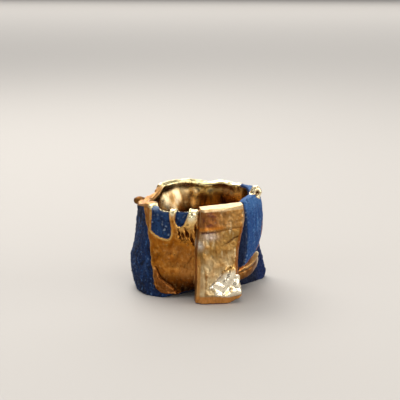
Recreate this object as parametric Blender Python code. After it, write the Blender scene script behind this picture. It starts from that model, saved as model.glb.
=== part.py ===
"""Kintsugi sake cup: one hand-built stoneware piece, in metres, +Z up, standing on z = 0.

The body is lofted from closed rings round an upright axis, and its cavity is cut out of it. Thick slabs
are lofted in the same way and joined on: a plate that leans on the front and is the front foot, a leaf of
clay round the right side with a strap under it, a right foot, and a plate at the back. The left side of
the body swells into a foot of its own. All of it is one solid, trimmed flat where it stands.
Azimuth is in degrees round the axis: 0 faces the front (-Y), 90 faces +X and -90 faces -X.
"""

import math

import bmesh
import bpy
from mathutils import Matrix, Vector, noise

# Body and cavity
BODY_REACH = 0.0300
RIM_HEIGHT = 0.0500
UNDERSIDE_CLEARANCE = 0.0045
RIM_WALL = 0.0030
SIDE_WALL = 0.0034
FLOOR_THICKNESS = 0.0055
BELLY_HEIGHT = 0.0160
SURFACE_LUMP = 0.00035
LUMP_SPACING = 0.0085
LIP_DROP = 0.0007
LIP_ROUNDING = 0.0008
LIP_DEPTH = 0.0015

# Windows of bare blue clay that sink through the gold coat
WINDOW_DEPTH = 0.0008
WINDOW_CUT_ABOVE_RIM = 0.0040
WINDOW_CUT_OUTSIDE = 0.0030

# Front plate
PLATE_WIDTH = 0.0225
PLATE_HEIGHT = 0.0482
PLATE_THICKNESS = 0.0072
PLATE_LEAN = 0.0063
PLATE_STAND_OFF = 0.0104
PLATE_YAW = 8.0
PLATE_TOP_RISE = 0.0017
PLATE_EDGE_BEVEL = 0.0028
PLATE_TOE_BEVEL = 0.0046
PLATE_CORNER_LIFT = 0.0034
PLATE_TOP_INSET = 0.0011
PLATE_CROWN = 0.0006

# Leaf of clay round the right side
LEAF_THICKNESS = 0.0052
LEAF_BULGE = 0.0021
LEAF_END_INSET = 0.0006

# Strap under the leaf
STRAP_HEIGHT = 0.0078
STRAP_PROUD = 0.0030

# Right foot
FOOT_WIDTH = 0.0235
FOOT_THICKNESS = 0.0090
FOOT_HEIGHT = 0.0235
FOOT_FLARE = 0.0042
FOOT_AZIMUTH = 46.0
FOOT_TIP = 0.0336
FOOT_FRONT = 0.0182
FOOT_TOE_INSET = 0.0022
FOOT_LEAN = 0.0030
FOOT_ROUNDING = 0.0020
FOOT_CROWN = 0.0006
FOOT_EDGE_CROWN = 0.0004
FOOT_SIDE_TAPER = 0.0003

# Back plate
BACK_WIDTH = 0.0200
BACK_HEIGHT = 0.0400
BACK_THICKNESS = 0.0070
BACK_LEAN = 0.0008
BACK_STAND_OFF = 0.0016
BACK_AZIMUTH = -158.0
BACK_TOP_INSET = 0.0010
BACK_EDGE_BEVEL = 0.0020
BACK_LEFT_CROWN = 0.0004
BACK_RIGHT_CROWN = 0.0005

# Beads of clay folded over the rim
LEFT_BEAD_RADIUS = 0.0027
RIGHT_BEAD_RADIUS = 0.0033
BEAD_OVERHANG = 0.35

# How deep a joined piece reaches into the body's wall
EMBED = 0.0018

# The block under the table that trims the feet
GROUND_WIDTH = 0.2
GROUND_DEPTH = 0.02

# Round the body: azimuth, then shares of BODY_REACH at the foot, belly and rim,
# the height of the underside as a share of UNDERSIDE_CLEARANCE, and the rim's as one of RIM_HEIGHT
BODY = [
    (-170.0, 0.57, 0.87, 0.835, 1.00, 1.030),
    (-150.0, 0.60, 0.91, 0.865, 1.00, 1.036),
    (-132.0, 0.68, 0.98, 0.860, 1.00, 1.028),
    (-120.0, 0.76, 1.04, 0.862, 0.95, 1.020),
    (-114.0, 0.81, 1.08, 0.888, 0.80, 0.966),
    (-106.0, 0.88, 1.13, 0.930, 0.50, 0.936),
    (-98.0, 0.96, 1.19, 1.030, 0.10, 0.915),
    (-84.0, 1.05, 1.225, 1.095, -0.15, 0.912),
    (-68.0, 1.11, 1.215, 1.090, -0.15, 0.930),
    (-57.0, 1.13, 1.155, 1.060, -0.15, 0.955),
    (-50.0, 1.12, 1.10, 1.030, -0.15, 0.925),
    (-42.0, 1.07, 1.03, 0.980, -0.15, 0.903),
    (-34.0, 0.98, 0.98, 0.920, 0.10, 0.902),
    (-22.0, 0.83, 0.93, 0.850, 0.48, 0.900),
    (-8.0, 0.73, 0.90, 0.815, 0.62, 0.902),
    (10.0, 0.66, 0.90, 0.830, 0.80, 0.925),
    (30.0, 0.60, 0.90, 0.865, 1.00, 0.940),
    (48.0, 0.62, 0.88, 0.890, 1.00, 0.955),
    (70.0, 0.64, 0.87, 0.925, 1.00, 0.975),
    (92.0, 0.66, 0.89, 0.945, 1.00, 0.985),
    (112.0, 0.66, 0.92, 0.945, 1.00, 1.030),
    (130.0, 0.62, 0.90, 0.890, 1.00, 1.020),
    (150.0, 0.58, 0.88, 0.845, 1.00, 1.034),
    (170.0, 0.56, 0.86, 0.825, 1.00, 1.010),
]
BODY_COLUMNS = ("azimuth", "foot", "belly", "rim", "clearance", "top")

# Windows: azimuth of the middle, half width, height of the lowest point, skew of the bottom
WINDOWS = [
    (-42.5, 0.0049, 0.0302, 0.0030),
    (-21.5, 0.0029, 0.0368, 0.0),
]

# Front plate's side edges: share of its height, left and right shift as shares of its width
PLATE_SIDES = [
    (0.00, -0.020, 0.035),
    (0.12, -0.008, 0.020),
    (0.30, 0.020, -0.050),
    (0.50, 0.020, -0.045),
    (0.72, 0.075, 0.035),
    (0.88, 0.120, 0.100),
    (1.00, 0.125, 0.080),
]

# Leaf: azimuth, share of BODY_REACH, and its lower and upper edges as shares of RIM_HEIGHT
LEAF = [
    (46.0, 0.96, 0.250, 0.925),
    (52.0, 1.00, 0.252, 0.955),
    (60.0, 1.03, 0.290, 0.985),
    (72.0, 1.07, 0.350, 1.000),
    (85.0, 1.10, 0.415, 1.010),
    (96.0, 1.09, 0.530, 1.025),
    (108.0, 1.05, 0.690, 1.035),
    (120.0, 0.97, 0.860, 1.020),
]

# Strap: azimuth, share of BODY_REACH at its outer face, height of its lower edge as a share of RIM_HEIGHT
STRAP = [
    (40.0, 0.86, 0.115),
    (52.0, 0.89, 0.120),
    (64.0, 0.935, 0.130),
    (78.0, 0.985, 0.160),
    (92.0, 1.04, 0.205),
]

FINE_STEP = 2.5
COARSE_STEP = 6.0
FINE_FROM = -62.0
FINE_TO = -4.5


def place(azimuth, radius, height):
    """The point at an azimuth in degrees, a distance from the axis and a height."""
    turn = math.radians(azimuth)
    return Vector((radius * math.sin(turn), -radius * math.cos(turn), height))


def hermite(share, before, start, end, after, spans):
    """A smooth curve from start to end that also heeds the values on either side, at their own spacing."""
    lead, span, tail = spans
    slope_in = (end - before) / (lead + span) * span
    slope_out = (after - start) / (span + tail) * span
    square, cube = share * share, share * share * share
    return (
        (2 * cube - 3 * square + 1) * start
        + (cube - 2 * square + share) * slope_in
        + (3 * square - 2 * cube) * end
        + (cube - square) * slope_out
    )


def around(table, azimuth, name):
    """One named column of the body's stations at any azimuth, smooth all the way round."""
    column = BODY_COLUMNS.index(name)
    count = len(table)
    first = table[0][0]
    turned = (azimuth - first) % 360.0 + first

    def station(index):
        row = table[index % count]
        return row[0] + 360.0 * (index // count), row[column]

    here = max(i for i in range(count) if table[i][0] <= turned)
    (a0, before), (a1, start), (a2, end), (a3, after) = (station(here + k) for k in (-1, 0, 1, 2))
    spans = (a1 - a0, a2 - a1, a3 - a2)
    return hermite((turned - a1) / spans[1], before, start, end, after, spans)


def along(table, position, column):
    """One column of an open table of stations, level beyond its ends."""
    low, high = table[0][0], table[-1][0]
    position = min(max(position, low), high)
    last = len(table) - 1
    here = min(max(i for i in range(last + 1) if table[i][0] <= position), last - 1)
    rows = [table[min(max(here + k, 0), last)] for k in (-1, 0, 1, 2)]
    spans = (
        max(rows[1][0] - rows[0][0], 1e-9),
        rows[2][0] - rows[1][0],
        max(rows[3][0] - rows[2][0], 1e-9),
    )
    share = (position - rows[1][0]) / spans[1]
    before, start, end, after = (row[column] for row in rows)
    return hermite(share, before, start, end, after, spans)


def smooth(share):
    share = min(max(share, 0.0), 1.0)
    return share * share * (3.0 - 2.0 * share)


def rim_height(azimuth):
    return RIM_HEIGHT * around(BODY, azimuth, "top")


def underside(azimuth):
    return UNDERSIDE_CLEARANCE * around(BODY, azimuth, "clearance")


def body_radius(azimuth, height):
    """Outside of the body: a round-bottomed belly that draws in a little towards the rim."""
    foot, belly, rim = (BODY_REACH * around(BODY, azimuth, k) for k in ("foot", "belly", "rim"))
    if height < BELLY_HEIGHT:
        low = underside(azimuth)
        rise = min(max((height - low) / (BELLY_HEIGHT - low), 0.0), 1.0)
        radius = foot + (belly - foot) * math.sqrt(1.0 - (1.0 - rise) ** 2)
    else:
        rise = min((height - BELLY_HEIGHT) / (rim_height(azimuth) - BELLY_HEIGHT), 1.0)
        radius = belly + (rim - belly) * rise * (2.0 - rise)
    lump = noise.noise(place(azimuth, radius, height) / LUMP_SPACING)
    return radius + SURFACE_LUMP * lump


def side_swell(azimuth):
    """1 round the left side, where a second slab doubles the wall, and 0 elsewhere."""
    return smooth((azimuth + 112.0) / 20.0) * smooth((-46.0 - azimuth) / 16.0)


def cavity_rim_radius(azimuth):
    wall = RIM_WALL + SIDE_WALL * side_swell(azimuth)
    return BODY_REACH * around(BODY, azimuth, "rim") - wall


def azimuths():
    """Columns round the body, closer together at the front left, where the windows are."""
    fine = round((FINE_TO - FINE_FROM) / FINE_STEP)
    coarse = round((360.0 - (FINE_TO - FINE_FROM)) / COARSE_STEP)
    columns = [FINE_FROM + (FINE_TO - FINE_FROM) * k / fine for k in range(fine)]
    rest = 360.0 - (FINE_TO - FINE_FROM)
    columns += [FINE_TO + rest * k / coarse for k in range(coarse)]
    return [(a + 180.0) % 360.0 - 180.0 for a in columns]


def loft(name, rings):
    """A closed solid through rings of the same number of points, each end closed round its middle."""
    mesh = bpy.data.meshes.new(name)
    bm = bmesh.new()
    layers = [[bm.verts.new(point) for point in ring] for ring in rings]
    count = len(layers[0])
    for lower, upper in zip(layers, layers[1:]):
        for k in range(count):
            after = (k + 1) % count
            bm.faces.new((lower[k], lower[after], upper[after], upper[k]))
    for layer in (layers[0], layers[-1]):
        middle = bm.verts.new(sum((v.co for v in layer), Vector()) / count)
        for k in range(count):
            bm.faces.new((layer[k], layer[(k + 1) % count], middle))
    bmesh.ops.recalc_face_normals(bm, faces=bm.faces)
    bm.to_mesh(mesh)
    bm.free()
    mesh.shade_smooth()
    obj = bpy.data.objects.new(name, mesh)
    bpy.context.scene.collection.objects.link(obj)
    return obj


def make_body():
    """The outside of the body with a solid top, before the cavity is cut."""
    columns = azimuths()
    rings = [
        [place(a, BODY_REACH * around(BODY, a, "foot") * share, lift(a)) for a in columns]
        for share, lift in (
            (0.45, lambda a: UNDERSIDE_CLEARANCE),
            (0.72, lambda a: 0.35 * UNDERSIDE_CLEARANCE + 0.65 * underside(a)),
        )
    ]
    low_shares = [0.0, 0.05, 0.13, 0.25, 0.4, 0.6, 0.8, 1.0]
    for share in low_shares:
        heights = [underside(a) + (BELLY_HEIGHT - underside(a)) * share for a in columns]
        rings.append([place(a, body_radius(a, h), h) for a, h in zip(columns, heights)])
    upper = 13
    for k in range(1, upper + 1):
        share = k / upper
        lip = LIP_DROP if k == upper else 0.0
        heights = [BELLY_HEIGHT + (rim_height(a) - lip - BELLY_HEIGHT) * share for a in columns]
        rings.append([place(a, body_radius(a, h), h) for a, h in zip(columns, heights)])
    rings.append(
        [place(a, body_radius(a, rim_height(a)) - LIP_ROUNDING, rim_height(a)) for a in columns]
    )
    rings.append([place(a, cavity_rim_radius(a) + LIP_ROUNDING, rim_height(a)) for a in columns])
    rings.append(
        [place(a, cavity_rim_radius(a) - LIP_ROUNDING, rim_height(a) - LIP_DEPTH) for a in columns]
    )
    return loft("cup", rings)


def make_cavity():
    """The hollow: upright near the rim, rounded into the floor, and carried on above the rim."""
    columns = [-180.0 + COARSE_STEP * k for k in range(round(360.0 / COARSE_STEP))]
    floor = UNDERSIDE_CLEARANCE + FLOOR_THICKNESS
    rings = []
    steps = 9
    for k in range(steps + 1):
        turn = math.pi / 2 * k / steps
        share = 0.24 + 0.76 * math.sin(turn) ** 0.65
        rings.append(
            [
                place(
                    a,
                    cavity_rim_radius(a) * share,
                    floor + (rim_height(a) - floor) * 0.56 * (1.0 - math.cos(turn)),
                )
                for a in columns
            ]
        )
    for share in (0.82, 1.0, 1.25):
        rings.append(
            [
                place(a, cavity_rim_radius(a), floor + (rim_height(a) - floor) * share)
                for a in columns
            ]
        )
    return loft("cavity", rings)


def frame_at(azimuth):
    """Directions across and out of a plate that faces an azimuth."""
    turn = math.radians(azimuth)
    across = Vector((math.cos(turn), math.sin(turn), 0.0))
    outward = Vector((math.sin(turn), -math.cos(turn), 0.0))
    return across, outward


def make_front_plate():
    """A thick leaning plate with bevelled sides, a bevelled toe and a sloping top."""
    across, outward = frame_at(PLATE_YAW)
    belly = BODY_REACH * around(BODY, PLATE_YAW, "belly")
    toe_front = belly + PLATE_STAND_OFF - PLATE_LEAN * PLATE_TOE_BEVEL / PLATE_HEIGHT
    middle_shift = 0.21 * PLATE_WIDTH
    rings = []
    levels = [-0.012, 0.0, 0.05, 0.095, 0.14, 0.22, 0.31, 0.4, 0.5, 0.6, 0.7, 0.8, 0.9, 0.97, 1.0]
    for share in levels:
        height = PLATE_HEIGHT * share
        left = PLATE_WIDTH * (along(PLATE_SIDES, share, 1) - 0.5) + middle_shift
        right = PLATE_WIDTH * (0.5 + along(PLATE_SIDES, share, 2)) + middle_shift
        front = toe_front + PLATE_LEAN * (0.1 - share)
        front -= 0.45 * max(PLATE_TOE_BEVEL - height, 0.0)
        if share == 1.0:
            front -= PLATE_TOP_INSET
        wall = math.sqrt((BODY_REACH * around(BODY, PLATE_YAW, "rim")) ** 2 - left**2) - EMBED
        leg = smooth(1.0 - height / (0.30 * PLATE_HEIGHT))
        back = wall + (front - PLATE_THICKNESS - wall) * leg
        bevel = PLATE_EDGE_BEVEL * (1.0 - 0.45 * share)
        outline = [(left, back), (left, front - 0.85 * bevel), (left + bevel, front)]
        for k in range(1, 5):
            u = k / 5
            crown = PLATE_CROWN * math.sin(math.pi * u)
            outline.append((left + bevel + (right - left - 1.7 * bevel) * u, front + crown))
        outline += [(right - 0.7 * bevel, front), (right, front - 0.9 * bevel), (right, back)]
        for k in range(1, 4):
            outline.append((right + (left - right) * k / 4, back))
        top = smooth((share - 0.55) / 0.45)
        toe = 1.0 - smooth(share / 0.16)
        ring = []
        for w, n in outline:
            side = (w - middle_shift) / PLATE_WIDTH
            lift = PLATE_TOP_RISE * top * side + PLATE_CORNER_LIFT * toe * smooth((side - 0.14) / 0.4)
            ring.append(across * w + outward * n + Vector((0.0, 0.0, height + lift)))
        rings.append(ring)
    return loft("front_plate", rings)


def curved_section(outer, thickness, low, high, bulge, azimuth):
    """A closed upright section of a curved slab: outside from low to high, then inside back down.

    The inside reaches into the body's wall wherever there is a wall behind it."""
    points = []
    outside = 8
    for k in range(outside + 1):
        u = k / outside
        swell = bulge * (1.0 - (2.0 * u - 1.0) ** 2)
        edge = 0.22 * thickness * (abs(2.0 * u - 1.0) ** 8)
        points.append(place(azimuth, outer - bulge + swell - edge, low + (high - low) * u))
    inside = 6
    inset = 0.10 * thickness
    for k in range(inside + 1):
        u = 1.0 - k / inside
        height = low + inset + (high - low - 2.0 * inset) * u
        swell = bulge * (1.0 - (2.0 * u - 1.0) ** 2)
        radius = outer - bulge + swell - thickness
        radius = min(radius, body_radius(azimuth, min(height, rim_height(azimuth))) - EMBED)
        points.append(place(azimuth, radius, height))
    return points


def make_leaf():
    """The slab round the right side, whose lower edge sweeps up to the rim like the edge of a leaf."""
    start, end = LEAF[0][0], LEAF[-1][0]
    steps = 15
    rings = []
    for k in range(steps + 1):
        u = k / steps
        azimuth = start + (end - start) * u
        taper = math.sqrt(max(1.0 - max(u - 0.72, 0.0) ** 2 / 0.09, 0.05))
        thickness = LEAF_THICKNESS * (0.55 + 0.45 * taper)
        if k == 0:
            thickness *= 0.75
        rings.append(
            curved_section(
                BODY_REACH * along(LEAF, azimuth, 1) - (LEAF_END_INSET if k == 0 else 0.0),
                thickness,
                RIM_HEIGHT * along(LEAF, azimuth, 2),
                RIM_HEIGHT * along(LEAF, azimuth, 3),
                LEAF_BULGE * taper,
                azimuth,
            )
        )
    return loft("leaf", rings)


def make_strap():
    """A band of clay that follows the leaf's lower edge, under it, and ends in a blunt cut."""
    start, end = STRAP[0][0], STRAP[-1][0]
    steps = 9
    rings = []
    for k in range(steps + 1):
        azimuth = start + (end - start) * k / steps
        outer = BODY_REACH * along(STRAP, azimuth, 1)
        low = RIM_HEIGHT * along(STRAP, azimuth, 2)
        thickness = outer - body_radius(azimuth, low + 0.5 * STRAP_HEIGHT) + EMBED
        thickness = max(thickness, STRAP_PROUD)
        rings.append(
            curved_section(outer, thickness, low, low + STRAP_HEIGHT, 0.12 * STRAP_PROUD, azimuth)
        )
    return loft("strap", rings)


def make_right_foot():
    """A slab that leans out to the right and back and flares towards the table."""
    across, outward = frame_at(FOOT_AZIMUTH)
    front = FOOT_FRONT
    rings = []
    for share in (-0.02, 0.0, 0.06, 0.14, 0.25, 0.4, 0.55, 0.7, 0.85, 0.95, 1.0):
        height = FOOT_HEIGHT * share
        flare = FOOT_FLARE * (1.0 - smooth(share)) - FOOT_TOE_INSET * smooth(1.0 - share / 0.12)
        right = FOOT_TIP - 0.5 * FOOT_FLARE + flare
        left = right - FOOT_WIDTH + 0.25 * FOOT_WIDTH * share
        lean = FOOT_LEAN * share
        rounding = FOOT_ROUNDING
        outline = [
            (left, front - lean),
            (left + 0.35 * FOOT_WIDTH, front + FOOT_CROWN - lean),
            (right - 1.8 * rounding, front + FOOT_EDGE_CROWN - lean),
            (right - 0.6 * rounding, front - 0.5 * rounding - lean),
            (right, front - 1.6 * rounding - lean),
            (right - FOOT_SIDE_TAPER, front - FOOT_THICKNESS + 1.5 * rounding - lean),
            (right - 1.2 * rounding, front - FOOT_THICKNESS - lean),
            (left + 0.35 * FOOT_WIDTH, front - FOOT_THICKNESS - lean),
            (left, front - FOOT_THICKNESS - lean),
        ]
        if share == 1.0:
            middle = 0.5 * (left + right)
            outline = [(middle + 0.8 * (w - middle), n) for w, n in outline]
        rings.append([across * w + outward * n + Vector((0.0, 0.0, height)) for w, n in outline])
    return loft("right_foot", rings)


def make_back_plate():
    """A plainer plate at the back, whose toe is the back foot."""
    across, outward = frame_at(BACK_AZIMUTH)
    rim = BODY_REACH * around(BODY, BACK_AZIMUTH, "rim")
    wall = math.sqrt(rim**2 - (0.5 * BACK_WIDTH) ** 2) - EMBED
    belly = BODY_REACH * around(BODY, BACK_AZIMUTH, "belly")
    rings = []
    for share in (-0.012, 0.0, 0.06, 0.13, 0.22, 0.33, 0.45, 0.58, 0.7, 0.82, 0.93, 1.0):
        height = BACK_HEIGHT * share
        half = 0.5 * BACK_WIDTH * (1.0 - 0.16 * smooth(share) - 0.10 * smooth(1.0 - share / 0.08))
        front = belly + BACK_STAND_OFF - BACK_LEAN * share
        if share == 1.0:
            front -= BACK_TOP_INSET
        leg = smooth(1.0 - height / (0.30 * BACK_HEIGHT))
        back = wall + (front - BACK_THICKNESS - wall) * leg
        bevel = BACK_EDGE_BEVEL
        outline = [(-half, back), (-half, front - bevel), (-half + bevel, front)]
        outline += [(-0.3 * half, front + BACK_LEFT_CROWN), (0.35 * half, front + BACK_RIGHT_CROWN)]
        outline += [(half - bevel, front), (half, front - bevel), (half, back)]
        outline += [(0.33 * half, back), (-0.33 * half, back)]
        rings.append([across * w + outward * n + Vector((0.0, 0.0, height)) for w, n in outline])
    return loft("back_plate", rings)


def make_bead(name, azimuth, size, stretch, sink):
    """A rounded bead of clay on the outer edge of the rim, lowered by a share of its size."""
    mesh = bpy.data.meshes.new(name)
    bm = bmesh.new()
    scale = Matrix.Diagonal((*stretch, 1.0))
    bmesh.ops.create_uvsphere(bm, u_segments=14, v_segments=9, radius=size, matrix=scale)
    bm.to_mesh(mesh)
    bm.free()
    mesh.shade_smooth()
    obj = bpy.data.objects.new(name, mesh)
    radius = BODY_REACH * around(BODY, azimuth, "rim") + BEAD_OVERHANG * size
    obj.location = place(azimuth, radius, rim_height(azimuth) - sink * size)
    obj.rotation_euler = (0.0, 0.0, math.radians(azimuth))
    bpy.context.scene.collection.objects.link(obj)
    return obj


def make_window(index, azimuth, half_width, bottom, skew):
    """A cutter that sinks one window into the wall, from its round bottom to above the rim."""
    top = rim_height(azimuth) + WINDOW_CUT_ABOVE_RIM
    levels = 7
    heights = [bottom + half_width * (1.0 - math.cos(0.5 * math.pi * k / levels)) for k in range(levels + 1)]
    widths = [math.sin(0.5 * math.pi * max(k, 0.35) / levels) for k in range(levels + 1)]
    for k in range(1, 5):
        heights.append(heights[levels] + (top - heights[levels]) * k / 4)
        widths.append(1.0)
    rings = []
    for height, width in zip(heights, widths):
        shift = skew * (1.0 - width)
        ring = []
        for depth, direction in ((-WINDOW_DEPTH, 1), (WINDOW_CUT_OUTSIDE, -1)):
            for k in range(-3, 4):
                distance = shift + direction * half_width * width * k / 3
                spot = azimuth + math.degrees(distance / (0.92 * BODY_REACH))
                radius = body_radius(spot, min(height, rim_height(spot)))
                ring.append(place(spot, radius + depth, height))
        rings.append(ring)
    return loft(f"window_{index}", rings)


def make_ground():
    """Everything below the table, which trims the feet flat."""
    bm = bmesh.new()
    size = Matrix.Diagonal((GROUND_WIDTH, GROUND_WIDTH, GROUND_DEPTH, 1.0))
    bmesh.ops.create_cube(bm, size=1.0, matrix=size)
    mesh = bpy.data.meshes.new("ground")
    bm.to_mesh(mesh)
    bm.free()
    obj = bpy.data.objects.new("ground", mesh)
    obj.location = (0.0, 0.0, -0.5 * GROUND_DEPTH)
    bpy.context.scene.collection.objects.link(obj)
    return obj


def combine(target, tool, operation):
    """Adds a Boolean to the target, and turns the tool into a guide that is not part of the cup."""
    modifier = target.modifiers.new(tool.name, "BOOLEAN")
    modifier.operation = operation
    modifier.solver = "EXACT"
    modifier.object = tool
    tool.hide_render = True
    tool.display_type = "WIRE"


def centre_on_origin(pieces):
    """Moves everything so that the origin lies under the middle of the box round the pieces."""
    bpy.context.view_layer.update()
    points = [piece.matrix_world @ v.co for piece in pieces for v in piece.data.vertices]
    points = [p for p in points if p.z >= 0.0]
    middle = Vector(
        [0.5 * (min(p[k] for p in points) + max(p[k] for p in points)) for k in range(2)] + [0.0]
    )
    for obj in bpy.data.objects:
        obj.location -= middle


def glaze():
    """Matt cobalt clay; the gold lustre over it is a finish."""
    material = bpy.data.materials.new("cobalt_clay")
    material.use_nodes = True
    shader = material.node_tree.nodes["Principled BSDF"]
    shader.inputs["Base Color"].default_value = (0.03, 0.06, 0.16, 1.0)
    shader.inputs["Roughness"].default_value = 0.55
    shader.inputs["Metallic"].default_value = 0.0
    return material


def build():
    for obj in list(bpy.data.objects):
        bpy.data.objects.remove(obj)
    cup = make_body()
    cup.data.materials.append(glaze())
    slabs = [make_front_plate(), make_leaf(), make_strap(), make_right_foot(), make_back_plate()]
    for slab in slabs:
        combine(cup, slab, "UNION")
    combine(cup, make_cavity(), "DIFFERENCE")
    left = make_bead("left_bead", -96.0, LEFT_BEAD_RADIUS, (0.95, 1.15, 0.82), 0.35)
    right = make_bead("right_bead", 84.0, RIGHT_BEAD_RADIUS, (0.85, 0.9, 1.1), -0.5)
    for bead in (left, right):
        combine(cup, bead, "UNION")
    for index, window in enumerate(WINDOWS):
        combine(cup, make_window(index, *window), "DIFFERENCE")
    combine(cup, make_ground(), "DIFFERENCE")
    centre_on_origin([cup, left, right, *slabs])


build()
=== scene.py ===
"""Looks of the sake cup: cobalt stoneware with a poured gold lustre, one fired piece over the CAD solid.

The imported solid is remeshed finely, and every glaze, lip, fold, crack and drip is moved into the mesh. Where the
glazes lie is kept as distances on the mesh, which the one material reads. Lengths are in millimetres until the
mesh is written back. Azimuth runs round the body's axis: 0 is the front, 90 is +X, -90 is -X.
"""

import math
from types import SimpleNamespace

import bmesh
import bpy
import numpy as np
from mathutils import Euler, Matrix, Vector


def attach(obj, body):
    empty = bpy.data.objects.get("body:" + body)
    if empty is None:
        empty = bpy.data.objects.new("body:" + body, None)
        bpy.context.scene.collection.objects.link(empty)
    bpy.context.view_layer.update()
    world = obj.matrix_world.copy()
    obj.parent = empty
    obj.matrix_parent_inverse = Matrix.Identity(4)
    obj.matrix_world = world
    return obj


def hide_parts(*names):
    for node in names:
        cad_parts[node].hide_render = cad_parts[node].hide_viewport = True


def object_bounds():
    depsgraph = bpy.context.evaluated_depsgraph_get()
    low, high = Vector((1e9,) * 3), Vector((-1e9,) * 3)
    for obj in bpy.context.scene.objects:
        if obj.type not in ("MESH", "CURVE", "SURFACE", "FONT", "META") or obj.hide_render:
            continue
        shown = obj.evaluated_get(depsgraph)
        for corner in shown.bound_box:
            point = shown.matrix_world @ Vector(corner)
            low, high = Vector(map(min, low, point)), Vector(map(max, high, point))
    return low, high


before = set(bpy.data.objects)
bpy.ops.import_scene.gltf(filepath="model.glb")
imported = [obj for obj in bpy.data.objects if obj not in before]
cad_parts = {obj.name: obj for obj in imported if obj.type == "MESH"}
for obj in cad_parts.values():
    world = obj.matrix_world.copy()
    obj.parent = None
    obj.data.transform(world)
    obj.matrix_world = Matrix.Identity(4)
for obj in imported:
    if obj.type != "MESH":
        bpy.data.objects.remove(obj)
cad_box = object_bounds()

AXIS = np.array([0.38, 3.95])
REACH, RIM_TOP, BELLY_Z = 30.0, 50.0, 16.0
CLEARANCE = 4.5
VOXEL = 0.42
MOST_TRIANGLES = 190_000
THINNED_SHARE = 0.86  # of those triangles, what is left before the glazes' edges are refined
INNER_STEPS = 110  # of smoothing, over the inner wall
STANDING = 0.35  # a vertex lower than this stands on the table and stays
FAR = 9.0  # farther from an edge than anything that is drawn there
PLATE_FACES, FOOT_FACES, BACK_FACES = 8, 46, -158
PLATE_DEPTH = 20.5
LEAF_FROM, LEAF_TO = 45.2, 121
STRAP_FROM, STRAP_TO, STRAP_TALL, STRAP_RADIUS = 38, 94.5, 8.3, 28
BACK_HALF, BACK_TOP = 10.6, 41.0
LUMPS_RADIUS, FLAP_RADIUS, LEAF_RADIUS = 26.0, 30.5, 33
PHOTO_WIDTH, FOCAL_LENGTH = 400.0, 1088.0  # in the photo's pixels
CAMERA_BACK, CAMERA_HEIGHT, CAMERA_DIP = 0.556, 0.175, 13.1
DAYLIGHT = (1.0, 0.98, 0.95)

# The body's stations, as the solid has them: azimuth, foot, belly, rim, underside and top
BODY = [
    (-170, 0.57, 0.87, 0.835, 1, 1.03),
    (-150, 0.6, 0.91, 0.865, 1, 1.036),
    (-132, 0.68, 0.98, 0.86, 1, 1.028),
    (-120, 0.76, 1.04, 0.862, 0.95, 1.02),
    (-114, 0.81, 1.08, 0.888, 0.8, 0.966),
    (-106, 0.88, 1.13, 0.93, 0.5, 0.936),
    (-98, 0.96, 1.19, 1.03, 0.1, 0.915),
    (-84, 1.05, 1.225, 1.095, -0.15, 0.912),
    (-68, 1.11, 1.215, 1.09, -0.15, 0.93),
    (-57, 1.13, 1.155, 1.06, -0.15, 0.955),
    (-50, 1.12, 1.1, 1.03, -0.15, 0.925),
    (-42, 1.07, 1.03, 0.98, -0.15, 0.903),
    (-34, 0.98, 0.98, 0.92, 0.1, 0.902),
    (-22, 0.83, 0.93, 0.85, 0.48, 0.9),
    (-8, 0.73, 0.9, 0.815, 0.62, 0.902),
    (10, 0.66, 0.9, 0.83, 0.8, 0.925),
    (30, 0.6, 0.9, 0.865, 1, 0.94),
    (48, 0.62, 0.88, 0.89, 1, 0.955),
    (70, 0.64, 0.87, 0.925, 1, 0.975),
    (92, 0.66, 0.89, 0.945, 1, 0.985),
    (112, 0.66, 0.92, 0.945, 1, 1.03),
    (130, 0.62, 0.9, 0.89, 1, 1.02),
    (150, 0.58, 0.88, 0.845, 1, 1.034),
    (170, 0.56, 0.86, 0.825, 1, 1.01),
]
LEAF_LOW = [(46, 12.5), (52, 12.6), (60, 14.5), (72, 17.5), (85, 20.8), (96, 26.5), (108, 34.5), (120, 43)]
LEAF_LINE = [(50, 13), (60, 15), (68, 17.6), (75, 21), (79.5, 25), (82, 30), (83, 35.5), (84, 40)]
STRAP_LOW = [(40, 5.75), (52, 6), (64, 6.5), (78, 8), (92, 10.25)]

# Outlines and lines seen in the lustre: on the body as azimuth and height, on the front plate as
# distance across it and height
SLAB_EDGE = [
    (0, -44), (3.8, -44.4), (6.3, -46.5), (10.6, -48.1), (14.6, -48.4), (17.2, -49.5), (21.4, -50.9),
    (27.8, -52.2), (31.9, -54.8), (36.2, -55.9), (40.1, -59.5), (44.2, -62), (52, -63.5),
]
GOLD_FOOT = [(-60, 5), (-44.4, 3.8), (-39.8, 2.6), (-32.7, 2), (-26.6, 1.6), (-15, 0), (20, -2)]
BACK_EDGE = [(0, -133), (10, -131), (20, -127), (30, -123.5), (40, -120.5), (52, -117)]
WINDOW_1 = [
    (-51.6, 60), (-51.6, 41), (-51.8, 34.9), (-49.6, 33.6), (-46.8, 32.5), (-43, 31.5), (-39.2, 31),
    (-36, 30.7), (-33.7, 31.1), (-32.2, 33.1), (-32.5, 37.5), (-34.2, 41.7), (-34.9, 60),
]
WINDOW_2 = [
    (-26.3, 60), (-26.8, 44), (-27.8, 41.3), (-27.3, 39.6), (-25.4, 38.1), (-22.7, 37.5), (-20.2, 38.1),
    (-18.6, 39.5), (-16.6, 42), (-14.2, 44.3), (-13.5, 60),
]
LUMPS = [
    (-29, 40), (-27.5, 31), (-20, 27.5), (-11, 26), (-1, 25.5), (4, 36), (2, 50), (-11, 50), (-14, 44), (-20, 38.5),
]
GROOVES = [
    [(-25, 36), (-23.6, 33), (-21.6, 30)],
    [(-16.2, 36.4), (-15.4, 34), (-14, 32)],
    [(-10.2, 33.5), (-9.2, 30.4), (-6.2, 28)],
    [(-4.6, 38.5), (-3.6, 34)],
    [(-20.4, 34.5), (-19, 31.5)],
]
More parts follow.
